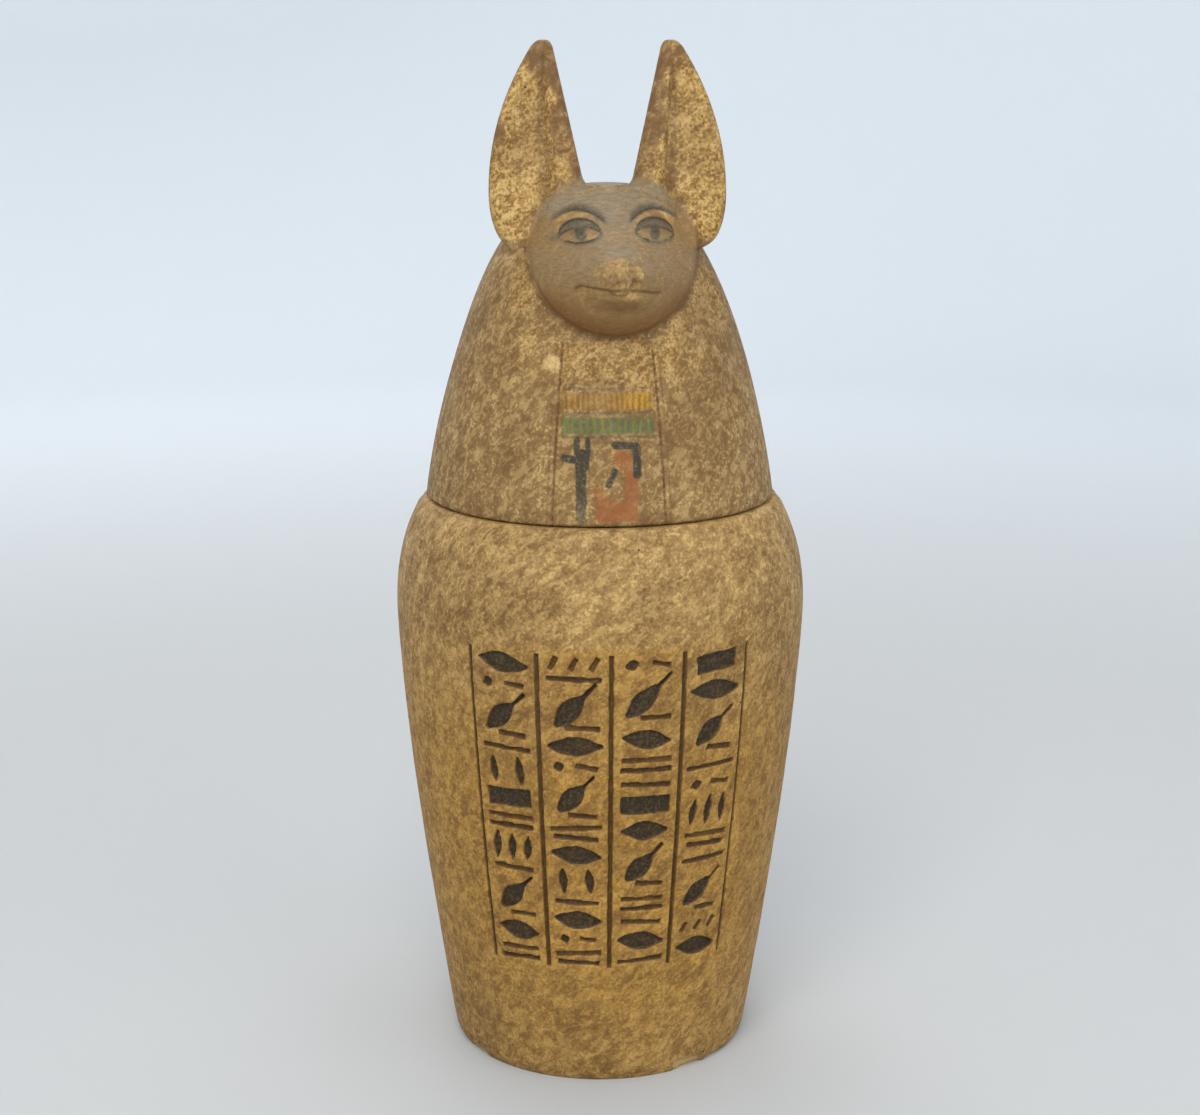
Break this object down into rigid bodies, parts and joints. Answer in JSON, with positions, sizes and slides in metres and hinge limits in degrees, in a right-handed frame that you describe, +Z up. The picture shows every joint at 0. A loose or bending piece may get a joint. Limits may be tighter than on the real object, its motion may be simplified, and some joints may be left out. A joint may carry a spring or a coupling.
{
  "type": "canopic jar",
  "caption": "Carved and painted stone jar with a jackal-headed lid that lifts off, and a panel of cut strokes on its front.",
  "frame": {"origin": "centre of the foot, on the ground", "axes": "+Z up, with the head facing -Y"},
  "size_m": [0.1372, 0.1372, 0.338],
  "materials": {
    "jar": "matte",
    "lid": "matte"
  },
  "bodies": {
    "root": {"jar": "jar", "lid": "lid"}
  },
  "joints": []
}
